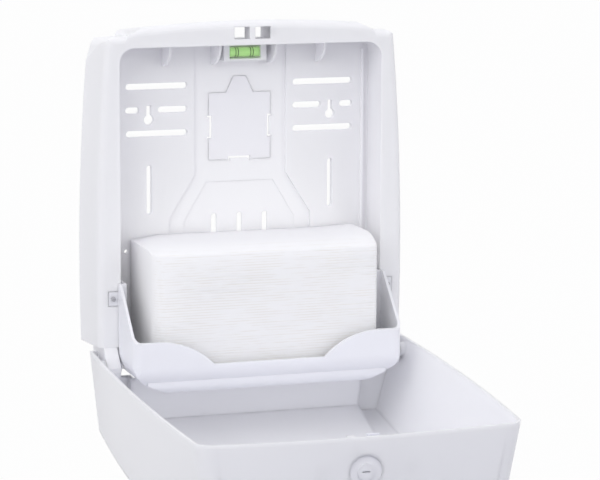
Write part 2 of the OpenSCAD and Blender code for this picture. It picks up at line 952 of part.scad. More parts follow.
// Fixed sleeve of the lock, seated in the cover top.
module lock_sleeve() {
    color([0.78, 0.79, 0.81])
    on_cover()
        translate([0, lock_y, 0])
            difference() {
                union() {
                    translate([0, 0, sleeve_low])
                        cylinder(r = sleeve_r, h = seat_z - sleeve_low + 1);
                    translate([0, 0, seat_z + 0.02])
                        cylinder(r = seat_r - 0.15, h = flange_t);
                }
                translate([0, 0, sleeve_low - 1])
                    cylinder(r = plug_r + 0.05, h = 40);
            }
}

// Nut that clamps the sleeve from inside the cover.
module lock_nut() {
    color([0.72, 0.73, 0.75])
    on_cover()
        translate([0, lock_y, seat_z - seat_t - nut_h - 0.1])
            difference() {
                cylinder(r = sleeve_r + 4, h = nut_h, $fn = 6);
                translate([0, 0, -1])
                    cylinder(r = sleeve_r + 0.02, h = nut_h + 2);
            }
}

// Turning plug with the key slot.
module lock_plug() {
    color([0.80, 0.80, 0.82])
    on_cover()
        translate([0, lock_y, 0])
            difference() {
                union() {
                    translate([0, 0, sleeve_low - 0.3])
                        cylinder(r = plug_r, h = seat_z + flange_t + 0.8 - sleeve_low);
                    translate([0, 0, seat_z + flange_t + 0.1])
                        cylinder(r = plug_r + 1.3, h = 0.9);
                }
                translate([-3.5, -0.6, seat_z - 4])
                    cube([7, 1.2, 10]);
                translate([0, 0, sleeve_low - 1])
                    cylinder(r = cam_screw_r + 0.02, h = 10, $fn = 32);
            }
}

// Cam under the plug with the off-centre pin that moves the latch slide.
module lock_cam() {
    color([0.72, 0.73, 0.75])
    on_cover()
        translate([0, lock_y, 0])
            difference() {
                union() {
                    translate([0, 0, sleeve_low - cam_gap - cam_t])
                        cylinder(r = cam_r, h = cam_t);
                    translate([-pin_x, pin_back, slide_low + 0.4])
                        cylinder(r = cam_pin_r, h = sleeve_low - cam_t - slide_low, $fn = 32);
                }
                translate([0, 0, sleeve_low - 5])
                    cylinder(r = cam_screw_r + 0.05, h = 10, $fn = 32);
            }
}

// Screw that fixes the cam to the plug.
module cam_screw() {
    color([0.75, 0.76, 0.78])
    on_cover()
        translate([0, lock_y, sleeve_low - cam_gap - cam_t - 0.02])
            difference() {
                union() {
                    translate([0, 0, -head_h])
                        cylinder(r = cam_screw_r + 0.4, h = head_h, $fn = 32);
                    translate([0, 0, -0.5])
                        cylinder(r = cam_screw_r, h = screw_l, $fn = 32);
                }
                translate([-cross_l, -cross_w / 2, -head_h + cross_d - 2])
                    cube([2 * cross_l, cross_w, 2]);
            }
}

// Sliding latch with the hook that enters the right opening of the beam, drawn in its free place.
module latch_slide() {
    reach = -slide_front - slide_d;
    hook_front = -housing_d + jamb_t + hook_gap;
    hook_end = reach + arm_t + hook_front + hook_t;
    color([0.86, 0.86, 0.89])
    on_cover()
        translate([-throw, 0, 0])
            difference() {
                union() {
                    translate([-slide_left, slide_front, slide_low])
                        cube([slide_left + hook_x + hook_w + 2, slide_d, slide_t]);
                    translate([hook_x, -reach - arm_t, slide_low])
                        cube([hook_w, arm_t, hook_high - slide_low]);
                    translate([hook_x, -reach - arm_t, hook_low])
                        cube([hook_w, hook_end, hook_high - hook_low]);
                    translate([hook_x, hook_front, hook_low])
                        cube([hook_w + hook_catch, hook_t, hook_high - hook_low]);
                }
                translate([pin_x - pin_slot_w / 2, lock_y + pin_back - 1.8, slide_low - 1])
                    cube([pin_slot_w, cam_throw - pin_back + 3.6, slide_t + 2]);
            }
}

// Bent leaf spring between the bracket and the latch slide, drawn pressed by the free latch.
module latch_spring() {
    leaf_t = 0.4;
    wall = -bracket_hw + ear_t + 0.05;
    tip = -slide_left - throw - 0.05;
    mid = slide_front + slide_d / 2;
    end = slide_d / 2 - 2;
    color([0.7, 0.7, 0.72])
    on_cover()
        translate([0, 0, slide_low + 0.2])
            linear_extrude(slide_t - leaf_t)
                polygon([[wall, mid - end], [wall + leaf_t, mid - end], [tip, mid - 1], [tip, mid + 1],
                    [wall + leaf_t, mid + end], [wall, mid + end], [wall, mid + end - 0.6],
                    [tip - leaf_t - 0.1, mid + 0.6], [tip - leaf_t - 0.1, mid - 0.6],
                    [wall, mid - end + 0.6]]);
}

// Side view of the towel stack, rounded where it sits in the front of the tray.
module pack_side() {
    r = pack_nose_r;
    translate([pack_front + r, pack_low])
        square([pack_d - r, pack_h]);
    translate([pack_front, pack_low + r])
        square([pack_d, pack_h - r]);
    translate([pack_front + r, pack_low + r])
        circle(r);
}

// Stack of folded paper towels standing in the tray.
module towel_pack() {
    color([0.95, 0.94, 0.92])
    intersection() {
        wide(-pack_w / 2, pack_w / 2)
            pack_side();
        translate([0, 0, pack_low - 1])
            linear_extrude(pack_h + 2) {
                translate([-pack_w / 2, pack_front + pack_r])
                    square([pack_w, pack_d - 2 * pack_r]);
                translate([-pack_w / 2 + pack_r, pack_front])
                    square([pack_w - 2 * pack_r, pack_d]);
                for (s = [-1, 1])
                    for (y = [pack_front + pack_r, pack_back - pack_r])
                        translate([s * (pack_w / 2 - pack_r), y])
                            circle(pack_r);
            }
    }
}

back_housing();
hatch_plate();
level_holder();
level_vial();
level_fluid();
level_plugs();
towel_tray();
tray_screws();
hinge_pins();
hinge_washers();
front_cover();
lock_bracket();
bracket_screws();
lock_sleeve();
lock_nut();
lock_plug();
lock_cam();
cam_screw();
latch_slide();
latch_spring();
towel_pack();
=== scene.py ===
"""Dresses the folded towel dispenser: finishes, towel stack, level marks, studio light and camera.

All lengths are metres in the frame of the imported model: X to the right as seen from the room,
Y into the wall, Z up, with the origin on the wall between the four wall slots.
"""

import functools
import logging
import math
import random
from dataclasses import dataclass
from enum import Enum
from typing import Any, Iterable, Mapping, Optional, Protocol, Sequence, Union

import bmesh
import bpy
from mathutils import Matrix, Vector, noise


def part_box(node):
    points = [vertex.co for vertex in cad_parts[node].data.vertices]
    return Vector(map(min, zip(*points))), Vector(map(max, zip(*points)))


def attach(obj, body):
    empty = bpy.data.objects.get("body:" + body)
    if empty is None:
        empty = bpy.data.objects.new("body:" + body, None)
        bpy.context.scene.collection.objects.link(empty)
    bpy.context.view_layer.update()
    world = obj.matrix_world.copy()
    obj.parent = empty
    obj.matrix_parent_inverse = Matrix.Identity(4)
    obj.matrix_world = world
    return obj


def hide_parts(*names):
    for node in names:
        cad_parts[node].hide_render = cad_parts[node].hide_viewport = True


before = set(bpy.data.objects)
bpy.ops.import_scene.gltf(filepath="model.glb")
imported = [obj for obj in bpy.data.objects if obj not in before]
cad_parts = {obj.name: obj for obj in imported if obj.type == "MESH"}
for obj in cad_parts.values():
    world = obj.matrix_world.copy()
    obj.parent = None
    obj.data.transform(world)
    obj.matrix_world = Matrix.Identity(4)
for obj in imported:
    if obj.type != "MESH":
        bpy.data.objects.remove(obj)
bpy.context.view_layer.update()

LOG = logging.getLogger("towel_dispenser")
MM = 0.001

Colour = tuple[float, float, float, float]
Triple = tuple[float, float, float]
Number = Union[int, float]

WHITE: Colour = (1, 1, 1, 1)
# The value that the shader's soft noise varies around.
NOISE_MIDDLE = 0.5
# Corners of the faces that make up a rounded skin. Its flat ends have more.
SKIN_CORNERS = 4


class Body(str, Enum):
    """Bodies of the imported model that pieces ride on."""

    HOUSING = "housing"
    TOWELS = "towels"


class Slot(str, Enum):
    """Names of material slots of the record."""

    PLUG = "vial_plug"
    FLUID = "vial_fluid"
    PAPER = "towel_paper"


class Axis(str, Enum):
    """Axes that finishes read a vector along."""

    Y = "Y"
    Z = "Z"


class Ends(Enum):
    """What becomes of the first and the last ring of a skin."""

    JOINED = "joined to each other"
    CAPPED = "each closed by a flat face"


class Value:
    """A number socket whose Python operators add Math nodes."""

    def __init__(self, nodes: "Nodes", socket: bpy.types.NodeSocket) -> None:
        """Keeps the socket and the tree it belongs to."""
        self.nodes = nodes
        self.socket = socket

    def _math(self, operation: str, first: "Operand", second: "Operand") -> "Value":
        """Adds one Math node.

        Args:
            operation: Name of the Math node's operation.
            first: First operand, a number or a wrapped socket.
            second: Second operand, a number or a wrapped socket.

        Returns:
            The node's result, wrapped.
        """
        sockets = {0: first, 1: second}
        return self.nodes.value("ShaderNodeMath", {"operation": operation}, sockets, "Value")

    def __add__(self, other: "Operand") -> "Value":
        """Sum of this and other."""
        return self._math("ADD", self, other)

    def __radd__(self, other: "Operand") -> "Value":
        """Sum of other and this."""
        return self._math("ADD", other, self)

    def __sub__(self, other: "Operand") -> "Value":
        """This less other."""
        return self._math("SUBTRACT", self, other)

    def __rsub__(self, other: "Operand") -> "Value":
        """Other less this."""
        return self._math("SUBTRACT", other, self)

    def __mul__(self, other: "Operand") -> "Value":
        """Product of this and other."""
        return self._math("MULTIPLY", self, other)

    def __rmul__(self, other: "Operand") -> "Value":
        """Product of other and this."""
        return self._math("MULTIPLY", other, self)

    def __pow__(self, other: "Operand") -> "Value":
        """This raised to the power of other."""
        return self._math("POWER", self, other)

    def __rpow__(self, other: "Operand") -> "Value":
        """Other raised to the power of this."""
        return self._math("POWER", other, self)

    def absolute(self) -> "Value":
        """This without its sign."""
        return self._math("ABSOLUTE", self, 0.0)

    def fraction(self) -> "Value":
        """The part of this behind the decimal point."""
        return self._math("FRACT", self, 0.0)

    def clamped(self) -> "Value":
        """This held between 0 and 1."""
        return self.nodes.value("ShaderNodeClamp", {}, {"Value": self}, "Result")


Operand = Union[Number, Value]
Link = Union[Number, Sequence[float], Value, bpy.types.NodeSocket]
Sockets = Mapping[Union[str, int], Link]


class Nodes:
    """The node tree of a material or of the sky, emptied to be built anew."""

    def __init__(self, owner: Union[bpy.types.Material, bpy.types.World]) -> None:
        """Empties the owner's node tree.

        Args:
            owner: The material or the sky that the tree belongs to.
        """
        owner.use_nodes = True
        self.tree = owner.node_tree
        self.tree.nodes.clear()

    def node(self, kind: str, settings: Mapping[str, Any], sockets: Sockets) -> bpy.types.Node:
        """Adds any node.

        Args:
            kind: The node's type.
            settings: Properties of the node, which are set first.
            sockets: Values or links of the input sockets, by name or number.

        Returns:
            The new node.
        """
        node = self.tree.nodes.new(kind)
        for key, setting in settings.items():
            setattr(node, key, setting)
        for key, link in sockets.items():
            self.feed(node.inputs[key], link)
        return node

    def feed(self, socket: bpy.types.NodeSocket, link: Link) -> None:
        """Links a socket, or sets its value.

        Args:
            socket: The input socket.
            link: A wrapped socket, an output socket or a plain value.
        """
        if isinstance(link, Value):
            link = link.socket
        if isinstance(link, bpy.types.NodeSocket):
            self.tree.links.new(link, socket)
        else:
            socket.default_value = link

    def value(
        self, kind: str, settings: Mapping[str, Any], sockets: Sockets, output: str
    ) -> Value:
        """Adds a node and wraps one of its number outputs.

        Args:
            kind: The node's type.
            settings: Properties of the node, which are set first.
            sockets: Values or links of the input sockets, by name or number.
            output: Name of the output to wrap.

        Returns:
            The wrapped output.
        """
        return Value(self, self.node(kind, settings, sockets).outputs[output])

    def seen(self) -> Value:
        """Tells the rays that show the background from the light that falls on things.

        Returns:
            1 for rays from the camera, in gloss or through clear pieces, and 0 for the others.
        """
        path = self.node("ShaderNodeLightPath", {}, {}).outputs
        rays = Value(self, path["Is Camera Ray"]) + Value(self, path["Is Glossy Ray"])
        return (rays + Value(self, path["Is Transmission Ray"])).clamped()

    def blend(
        self, factor: Operand, first: bpy.types.NodeSocket, second: bpy.types.NodeSocket
    ) -> bpy.types.NodeSocket:
        """Mixes two shaders.

        Args:
            factor: Share of the second shader.
            first: Shader at factor 0.
            second: Shader at factor 1.

        Returns:
            The mixed shader.
        """
        node = self.node("ShaderNodeMixShader", {}, {0: factor, 1: first, 2: second})
        return node.outputs["Shader"]


class Shader(Nodes):
    """A new material with its node tree and one Principled shader."""

    NOISE_ROUGHNESS = 0.55
    BEVEL_SAMPLES = 4
    # The Mix node has a set of sockets for each kind of data. These are the numbers of its colours.
    MIX_FACTOR, MIX_FIRST, MIX_SECOND, MIX_RESULT = 0, 6, 7, 2

    def __init__(self, name: str, fixed: Mapping[str, Any]) -> None:
        """Makes the material.

        Args:
            name: The material's name.
            fixed: Values that are the same all over, by socket name of the Principled shader.
        """
        self.material = bpy.data.materials.new(name)
        super().__init__(self.material)
        self.surface = self.node("ShaderNodeBsdfPrincipled", {}, fixed)
        skin = self.surface.outputs["BSDF"]
        self.output = self.node("ShaderNodeOutputMaterial", {}, {"Surface": skin})

    def place(self) -> bpy.types.NodeSocket:
        """The point's place on its piece, in metres, which moves with the piece."""
        return self.node("ShaderNodeTexCoord", {}, {}).outputs["Object"]

    def facing(self) -> bpy.types.NodeSocket:
        """The direction that the point faces on its piece, which turns with the piece."""
        return self.node("ShaderNodeTexCoord", {}, {}).outputs["Normal"]

    def along(self, vector: bpy.types.NodeSocket, axis: Axis) -> Value:
        """One part of a vector.

        Args:
            vector: The vector.
            axis: The axis to read it along.

        Returns:
            The part along that axis.
        """
        return self.value("ShaderNodeSeparateXYZ", {}, {"Vector": vector}, axis.value)

    def stretched_place(self, scale: Triple) -> bpy.types.NodeSocket:
        """The point's place with each axis scaled.

        Args:
            scale: Factor of each axis.

        Returns:
            The scaled place.
        """
        mapping = self.node("ShaderNodeMapping", {}, {"Vector": self.place(), "Scale": scale})
        return mapping.outputs["Vector"]

    def noise(self, place: bpy.types.NodeSocket, size: float, detail: float) -> Value:
        """Soft noise from 0 to 1.

        Args:
            place: The coordinates it lies in.
            size: Size of its blotches, in metres.
            detail: Number of finer octaves.

        Returns:
            The noise's strength.
        """
        sockets = {
            "Vector": place,
            "Scale": 1.0 / size,
            "Detail": detail,
            "Roughness": self.NOISE_ROUGHNESS,
        }
        return self.value("ShaderNodeTexNoise", {}, sockets, "Fac")

    def mix(self, factor: Operand, first: Link, second: Link) -> bpy.types.NodeSocket:
        """Mixes two colours.

        Args:
            factor: Share of the second colour.
            first: Colour at factor 0.
            second: Colour at factor 1.

        Returns:
            The mixed colour.
        """
        settings = {"data_type": "RGBA", "clamp_factor": True}
        sockets = {self.MIX_FACTOR: factor, self.MIX_FIRST: first, self.MIX_SECOND: second}
        return self.node("ShaderNodeMix", settings, sockets).outputs[self.MIX_RESULT]

    def rounded_normal(self, radius: float) -> bpy.types.NodeSocket:
        """The surface normal with edges rounded.

        Args:
            radius: Radius of the rounding, in metres.

        Returns:
            The rounded normal.
        """
        settings = {"samples": self.BEVEL_SAMPLES}
        return self.node("ShaderNodeBevel", settings, {"Radius": radius}).outputs["Normal"]

    def edge(self, rounded: bpy.types.NodeSocket) -> Value:
        """How near the point is to a sharp edge.

        Args:
            rounded: The rounded normal.

        Returns:
            0 on open faces, rising to about 0.3 on a right-angled edge.
        """
        true_normal = self.node("ShaderNodeNewGeometry", {}, {}).outputs["True Normal"]
        settings, sockets = {"operation": "DOT_PRODUCT"}, {0: rounded, 1: true_normal}
        return (1.0 - self.value("ShaderNodeVectorMath", settings, sockets, "Value")).clamped()

    def bump(
        self, height: Operand, depth: float, strength: float, normal: Optional[bpy.types.NodeSocket]
    ) -> bpy.types.NodeSocket:
        """Raises the surface by a height pattern.

        Args:
            height: The pattern, from 0 to 1.
            depth: Height of the pattern, in metres.
            strength: Share of the effect.
            normal: The normal to start from, or None for the surface's own.

        Returns:
            The raised normal.
        """
        sockets: dict[Union[str, int], Link] = {
            "Height": height,
            "Distance": depth,
            "Strength": strength,
        }
        if normal is not None:
            sockets["Normal"] = normal
        return self.node("ShaderNodeBump", {}, sockets).outputs["Normal"]

    def finish(
        self,
        colour: Link,
        roughness: Optional[Operand] = None,
        normal: Optional[bpy.types.NodeSocket] = None,
    ) -> bpy.types.Material:
        """Feeds what changes over the surface to the shader.

        Args:
            colour: Base colour.
            roughness: Roughness, or None where it is the same all over.
            normal: Normal, or None for the surface's own.

        Returns:
            The finished material.
        """
        feeds = {"Base Color": colour, "Roughness": roughness, "Normal": normal}
        for name, link in feeds.items():
            if link is not None:
                self.feed(self.surface.inputs[name], link)
        return self.material


class Finish(Protocol):
    """Anything that can build a material."""

    def material(self) -> bpy.types.Material:
        """Builds the node material."""


@dataclass(frozen=True)
class MouldedPlastic:
    """A moulded plastic skin: fine tool grain, slow mottling, sink waves, and a second tone near
    sharp edges and inner corners, which is rubbed wear on outer edges and painted shade in inner
    corners and creases.
    """

    name: str
    colour: Colour
    shade: Colour
    # Tone near sharp edges and in inner corners: rubbed wear on outer edges; where it is darker and
    # bluer than the colour, it is also painted shade in inner corners and creases.
    edge_wear_and_shade: Colour
    edge_radius: float
    edge_gain: float = 2.2
    edge_even: float = 0.5
    edge_polish: float = 0.2
    roughness: float = 0.42
    specular: float = 0.4
    bleed: float = 0.9
    bleed_reach: float = 3.5 * MM
    mottle_size: float = 70 * MM
    mottle_detail: float = 3.0
    mottle_share: float = 0.8
    mottle_play: float = 0.08
    wave_size: float = 46 * MM
    wave_detail: float = 1.0
    wave_depth: float = 0.35 * MM
    wave_strength: float = 0.35
    grain_size: float = 0.55 * MM
    grain_detail: float = 2.0
    grain_depth: float = 0.05 * MM
    grain_strength: float = 0.25
    grain_play: float = 0.10

    def material(self) -> bpy.types.Material:
        """Builds the node material.

        Returns:
            The material.
        """
        fixed = {
            "Specular IOR Level": self.specular,
            "Subsurface Weight": self.bleed,
            "Subsurface Radius": (self.bleed_reach, self.bleed_reach, self.bleed_reach),
            "Subsurface Scale": 1.0,
        }
        shader = Shader(self.name, fixed)
        place = shader.place()
        mottle = shader.noise(place, self.mottle_size, self.mottle_detail)
        wave = shader.noise(place, self.wave_size, self.wave_detail)
        grain = shader.noise(place, self.grain_size, self.grain_detail)
        rounded = shader.rounded_normal(self.edge_radius)
        edge = shader.edge(rounded)
        tone = shader.mix(mottle * self.mottle_share, self.colour, self.shade)
        patchy = self.edge_even + (1.0 - self.edge_even) * mottle
        # Sharp edges and inner corners take that tone: wear on outer edges, and painted shade in
        # inner corners where the tone is darker.
        tone = shader.mix((edge * self.edge_gain).clamped() * patchy, tone, self.edge_wear_and_shade)
        roughness = self.roughness + self.grain_play * (grain - NOISE_MIDDLE)
        roughness = roughness + self.mottle_play * (mottle - NOISE_MIDDLE) - self.edge_polish * edge
        swell = shader.bump(wave, self.wave_depth, self.wave_strength, rounded)
        normal = shader.bump(grain, self.grain_depth, self.grain_strength, swell)
        return shader.finish(tone, roughness, normal)


@dataclass(frozen=True)
class PlatedMetal:
    """A plated metal skin with fine drawn lines and worn edges."""

    name: str
    colour: Colour
    dull: Colour
    roughness: float
    edge_radius: float = 0.25 * MM
    line_size: float = 0.4 * MM
    line_stretch: Triple = (0.06, 1.0, 1.0)
    line_detail: float = 3.0
    line_share: float = 0.4
    line_play: float = 0.16
    line_depth: float = 0.02 * MM
    line_strength: float = 0.3
    cloud_size: float = 3 * MM
    cloud_detail: float = 3.0
    cloud_share: float = 0.6
    cloud_play: float = 0.10

    def material(self) -> bpy.types.Material:
        """Builds the node material.

        Returns:
            The material.
        """
        shader = Shader(self.name, {"Metallic": 1.0})
        drawn = shader.stretched_place(self.line_stretch)
        lines = shader.noise(drawn, self.line_size, self.line_detail)
        cloud = shader.noise(shader.place(), self.cloud_size, self.cloud_detail)
        rounded = shader.rounded_normal(self.edge_radius)
        dulled = self.cloud_share * cloud + self.line_share * lines - shader.edge(rounded)
        tone = shader.mix(dulled.clamped(), self.colour, self.dull)
        roughness = self.roughness + self.line_play * (lines - NOISE_MIDDLE)
        roughness = roughness + self.cloud_play * (cloud - NOISE_MIDDLE)
        normal = shader.bump(lines, self.line_depth, self.line_strength, rounded)
        return shader.finish(tone, roughness, normal)


@dataclass(frozen=True)
class ClearPlastic:
    """A clear moulded tube or a clear liquid, with faint drawing lines and a painted glow of its
    own colour, though it is no lamp.
    """

    name: str
    colour: Colour
    deep: Colour
    ior: float
    transmission: float
    roughness: float
    # Strength of a painted glow in the piece's own colour, which brightens it though it is no lamp.
    glow: float
    streak_size: float = 1.5 * MM
    streak_stretch: Triple = (0.15, 1.0, 1.0)
    streak_detail: float = 2.0
    streak_play: float = 0.05
    streak_depth: float = 0.02 * MM
    streak_strength: float = 0.15

    def material(self) -> bpy.types.Material:
        """Builds the node material.

        Returns:
            The material.
        """
        fixed = {
            "IOR": self.ior,
            "Transmission Weight": self.transmission,
            "Emission Color": self.colour,
            "Emission Strength": self.glow,
        }
        shader = Shader(self.name, fixed)
        drawn = shader.stretched_place(self.streak_stretch)
        streak = shader.noise(drawn, self.streak_size, self.streak_detail)
        tone = shader.mix(streak, self.colour, self.deep)
        roughness = self.roughness + self.streak_play * streak
        normal = shader.bump(streak, self.streak_depth, self.streak_strength, None)
        return shader.finish(tone, roughness, normal)


@dataclass(frozen=True)
class CrepedPaper:
    """Soft creped towel paper: cross ridges, fibres, and painted shade lines in the gaps where
    layers fold at the front.
    """

    name: str
    colour: Colour
    shade: Colour
    # Colour of the painted shade lines in the gaps between the folded layers.
    fold: Colour
    fold_base: float
    fold_pitch: float
    fold_sharpness: float = 4.0
    fold_onset: float = 3.0
    break_size: float = 3 * MM
    break_stretch: Triple = (0.12, 1.0, 1.0)
    break_detail: float = 2.0
    break_gain: float = 5.0
    patch_size: float = 40 * MM
    patch_detail: float = 1.0
    patch_gain: float = 2.0
    crepe_size: float = 0.9 * MM
    crepe_stretch: Triple = (1.0, 0.22, 1.0)
    crepe_detail: float = 2.0
    crepe_depth: float = 0.16 * MM
    crepe_strength: float = 0.45
    crepe_share: float = 0.7
    fibre_size: float = 0.35 * MM
    fibre_detail: float = 3.0
    fibre_share: float = 0.3
    fibre_play: float = 0.16
    cloud_size: float = 26 * MM
    cloud_detail: float = 3.0
    cloud_share: float = 0.7
    roughness: float = 0.82
    specular: float = 0.15
    sheen: float = 0.12
    sheen_roughness: float = 0.6
    bleed: float = 0.85
    bleed_reach: float = 20 * MM

    def material(self) -> bpy.types.Material:
        """Builds the node material.

        Returns:
            The material.
        """
        fixed = {
            "Specular IOR Level": self.specular,
            "Sheen Weight": self.sheen,
            "Sheen Roughness": self.sheen_roughness,
            "Subsurface Weight": self.bleed,
            "Subsurface Radius": (self.bleed_reach, self.bleed_reach, self.bleed_reach),
            "Subsurface Scale": 1.0,
        }
        shader = Shader(self.name, fixed)
        creped = shader.stretched_place(self.crepe_stretch)
        crepe = shader.noise(creped, self.crepe_size, self.crepe_detail)
        fibre = shader.noise(shader.place(), self.fibre_size, self.fibre_detail)
        cloud = shader.noise(shader.place(), self.cloud_size, self.cloud_detail)
        tone = self.cloud_share * cloud + self.fibre_share * fibre
        tone = shader.mix(tone.clamped(), self.colour, self.shade)
        # Darkens the gaps between the layers with painted shade.
        tone = shader.mix(self._painted_fold_shade_lines(shader), tone, self.fold)
        roughness = self.roughness + self.fibre_play * (fibre - NOISE_MIDDLE)
        ridges = self.crepe_share * crepe + self.fibre_share * fibre
        normal = shader.bump(ridges, self.crepe_depth, self.crepe_strength, None)
        return shader.finish(tone, roughness, normal)

    def _painted_fold_shade_lines(self, shader: Shader) -> Value:
        """Broken painted shade lines in the gaps between the layers, on faces that look out of the
        wall.

        Args:
            shader: The material's shader.

        Returns:
            1 on a line, 0 away from the lines.
        """
        phase = (shader.along(shader.place(), Axis.Z) - self.fold_base) * (1.0 / self.fold_pitch)
        line = (2.0 * phase.fraction() - 1.0).absolute() ** self.fold_sharpness
        drawn = shader.stretched_place(self.break_stretch)
        broken = shader.noise(drawn, self.break_size, self.break_detail)
        patch = shader.noise(shader.place(), self.patch_size, self.patch_detail)
        cover = self.break_gain * broken + self.patch_gain * patch - self.fold_onset
        outward = -1.0 * shader.along(shader.facing(), Axis.Y)
        return line * cover.clamped() * outward.clamped()


@dataclass(frozen=True)
class Ink:
    """A printed line with slightly uneven cover."""

    name: str
    colour: Colour
    thin: Colour
    specular: float = 0.3
    roughness: float = 0.35
    cover_size: float = 0.4 * MM
    cover_detail: float = 2.0
    cover_share: float = 0.6
    cover_play: float = 0.2
    cover_depth: float = 0.02 * MM
    cover_strength: float = 0.2

    def material(self) -> bpy.types.Material:
        """Builds the node material.

        Returns:
            The material.
        """
        shader = Shader(self.name, {"Specular IOR Level": self.specular})
        cover = shader.noise(shader.place(), self.cover_size, self.cover_detail)
        tone = shader.mix(cover * self.cover_share, self.colour, self.thin)
        roughness = self.roughness + self.cover_play * cover
        normal = shader.bump(cover, self.cover_depth, self.cover_strength, None)
        return shader.finish(tone, roughness, normal)


@dataclass(frozen=True)
class FloorPaper:
    """Matt pale floor with a painted shadow in one patch in front of the part, and near white to
    the camera.
    """

    name: str
    colour: Colour
    shade: Colour
    # Colour of the painted shadow, which dims the light bounced off the floor onto the part.
    patch: Colour
    painted_shadow_middle: Triple
    painted_shadow_core: float = 1.2
    painted_shadow_fall: float = 2.2
    mottle_size: float = 0.4
    mottle_detail: float = 2.0
    roughness: float = 0.9
    white_share: float = 0.975

    def material(self) -> bpy.types.Material:
        """Builds the node material.

        Returns:
            The material.
        """
        shader = Shader(self.name, {"Specular IOR Level": 0.0, "Roughness": self.roughness})
        mottle = shader.noise(shader.place(), self.mottle_size, self.mottle_detail)
        ends = {0: shader.place(), 1: self.painted_shadow_middle}
        away = shader.value("ShaderNodeVectorMath", {"operation": "DISTANCE"}, ends, "Value")
        tone = shader.mix(mottle, self.colour, self.shade)
        # The painted shadow: full within its core, fading with distance from its middle.
        inside = (self.painted_shadow_core - self.painted_shadow_fall * away).clamped()
        shader.finish(shader.mix(inside, tone, self.patch))
        glow = shader.node("ShaderNodeEmission", {}, {"Color": WHITE, "Strength": 1.0})
        white = self.white_share * shader.seen()
        skin = shader.blend(white, shader.surface.outputs["BSDF"], glow.outputs["Emission"])
        shader.feed(shader.output.inputs["Surface"], skin)
        return shader.material


# The darker, bluer edge tones of the housing, tray, cover and latch are painted shade in their
# inner corners as well as wear on their edges.
HOUSING_WHITE = MouldedPlastic(
    "housing_white",
    colour=(0.932, 0.927, 0.966, 1),
    shade=(0.92, 0.915, 0.958, 1),
    edge_wear_and_shade=(0.924, 0.919, 0.96, 1),
    edge_radius=0.3 * MM,
    bleed_reach=3 * MM,
)
HATCH_WHITE = MouldedPlastic(
    "hatch_white",
    colour=(0.926, 0.922, 0.948, 1),
    shade=(0.914, 0.91, 0.94, 1),
    edge_wear_and_shade=(0.926, 0.922, 0.948, 1),
    edge_radius=0.15 * MM,
    bleed=0.3,
    bleed_reach=1 * MM,
)
TRAY_WHITE = MouldedPlastic(
    "tray_white",
    colour=(0.868, 0.872, 0.9, 1),
    shade=(0.856, 0.86, 0.892, 1),
    edge_wear_and_shade=(0.858, 0.862, 0.892, 1),
    edge_radius=0.8 * MM,
    roughness=0.36,
    bleed=0.6,
    bleed_reach=2 * MM,
)
COVER_WHITE = MouldedPlastic(
    "cover_white",
    colour=(0.951, 0.952, 0.993, 1),
    shade=(0.942, 0.943, 0.989, 1),
    edge_wear_and_shade=(0.915, 0.917, 0.975, 1),
    edge_radius=5 * MM,
    roughness=0.38,
    bleed_reach=3 * MM,
)
LATCH_WHITE = MouldedPlastic(
    "latch_white",
    colour=(0.82, 0.82, 0.87, 1),
    shade=(0.79, 0.79, 0.85, 1),
    edge_wear_and_shade=(0.80, 0.80, 0.85, 1),
    edge_radius=0.4 * MM,
    roughness=0.5,
    bleed=0.0,
)
LOCK_WHITE = MouldedPlastic(
    "lock_white",
    colour=(0.946, 0.946, 0.98, 1),
    shade=(0.936, 0.936, 0.972, 1),
    edge_wear_and_shade=(0.946, 0.946, 0.98, 1),
    edge_radius=0.2 * MM,
    bleed=0.4,
)
WASHER_NYLON = MouldedPlastic(
    "washer_nylon",
    colour=(0.78, 0.78, 0.76, 1),
    shade=(0.72, 0.72, 0.70, 1),
    edge_wear_and_shade=(0.85, 0.85, 0.83, 1),
    edge_radius=0.2 * MM,
    bleed=0.0,
)
PLUG_GREEN = MouldedPlastic(
    "plug_green",
    colour=(0.42, 0.78, 0.26, 1),
    shade=(0.38, 0.72, 0.22, 1),
    edge_wear_and_shade=(0.50, 0.84, 0.34, 1),
    edge_radius=0.2 * MM,
    bleed=0.0,
)
SCREW_ZINC = PlatedMetal(
    "screw_zinc", colour=(0.62, 0.62, 0.64, 1), dull=(0.42, 0.42, 0.45, 1), roughness=0.28
)
PIN_BRIGHT = PlatedMetal(
    "pin_bright", colour=(0.72, 0.72, 0.74, 1), dull=(0.52, 0.52, 0.55, 1), roughness=0.22
)
LOCK_NICKEL = PlatedMetal(
    "lock_nickel", colour=(0.74, 0.74, 0.75, 1), dull=(0.58, 0.58, 0.60, 1), roughness=0.3
)
SPRING_BRIGHT = PlatedMetal(
    "spring_bright", colour=(0.66, 0.66, 0.68, 1), dull=(0.46, 0.46, 0.50, 1), roughness=0.25
)
# The level's tube, liquid and bubble carry a painted glow that makes them brighter than the light
# on them.
VIAL_CLEAR = ClearPlastic(
    "vial_clear",
    colour=(0.72, 0.90, 0.58, 1),
    deep=(0.66, 0.86, 0.50, 1),
    ior=1.2,
    transmission=0.7,
    roughness=0.04,
    glow=0.1,
)
FLUID_GREEN = ClearPlastic(
    "fluid_green",
    colour=(0.48, 0.76, 0.26, 1),
    deep=(0.44, 0.72, 0.22, 1),
    ior=1.36,
    transmission=0.1,
    roughness=0.12,
    glow=0.2,
)
BUBBLE_CLEAR = ClearPlastic(
    "bubble_clear",
    colour=(0.62, 0.84, 0.44, 1),
    deep=(0.56, 0.80, 0.38, 1),
    ior=1.1,
    transmission=0.2,
    roughness=0.1,
    glow=0.2,
)
MARK_INK = Ink("mark_ink", colour=(0.012, 0.014, 0.012, 1), thin=(0.04, 0.05, 0.04, 1))


@functools.cache
def material_of(finish: Finish) -> bpy.types.Material:
    """The one material of a finish, built when it is first asked for."""
    return finish.material()


